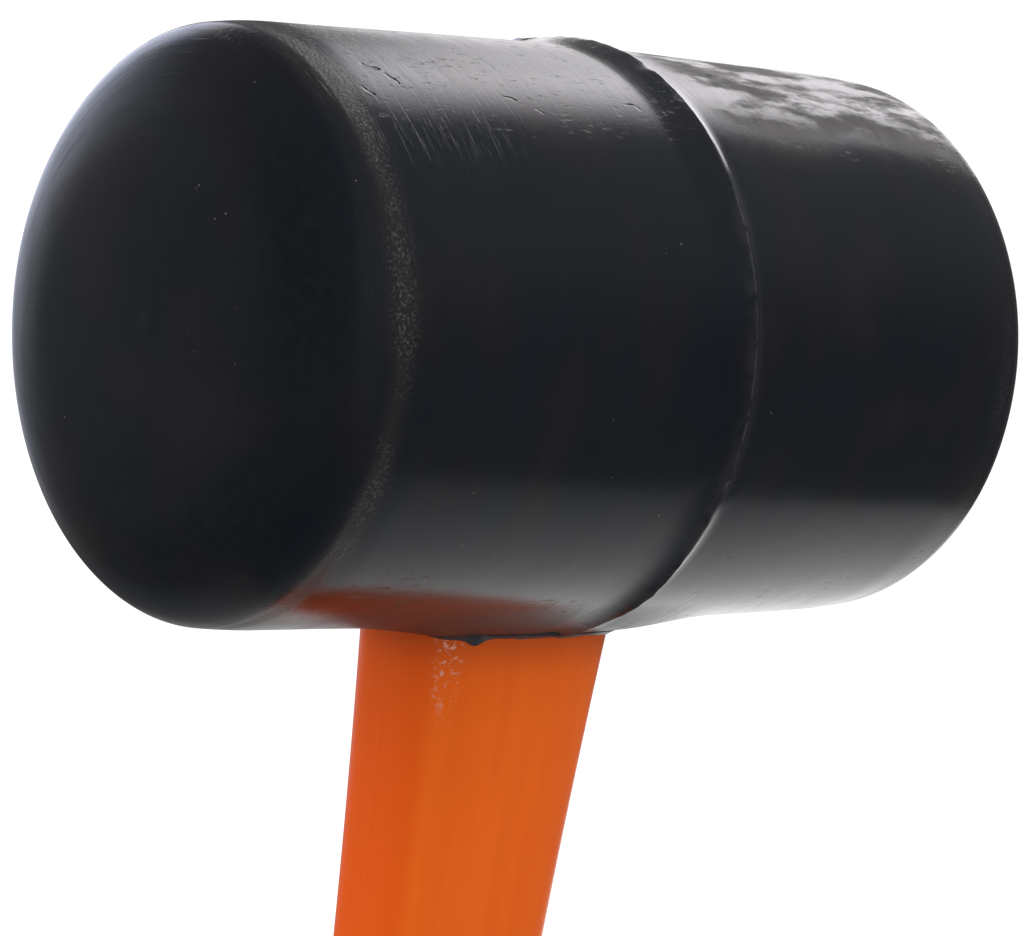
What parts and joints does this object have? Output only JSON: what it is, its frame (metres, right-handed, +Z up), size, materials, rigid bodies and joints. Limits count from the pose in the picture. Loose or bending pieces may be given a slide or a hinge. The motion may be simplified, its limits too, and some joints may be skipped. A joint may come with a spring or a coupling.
{
  "type": "rubber mallet",
  "caption": "Rubber mallet: solid black rubber head with two crowned striking faces, on an oval orange plastic handle with a glass-fibre core and a ribbed rubber grip.",
  "frame": {"origin": "middle of the flat butt at the lower end of the handle", "axes": "+Z up the handle to the head, +X along the head through both striking faces, +Y across the handle along the hanging hole"},
  "size_m": [0.102, 0.0646, 0.3303],
  "materials": {
    "head_rubber": "satin moulded black rubber with fine wear",
    "handle_plastic": "semi-gloss moulded orange plastic",
    "core_fibre": "raw pultruded glass fibre",
    "grip_rubber": "matt moulded black rubber"
  },
  "bodies": {
    "root": {"rubber_head": "head_rubber", "handle_jacket": "handle_plastic", "glass_fibre_core": "core_fibre", "rubber_grip": "grip_rubber"}
  },
  "joints": []
}
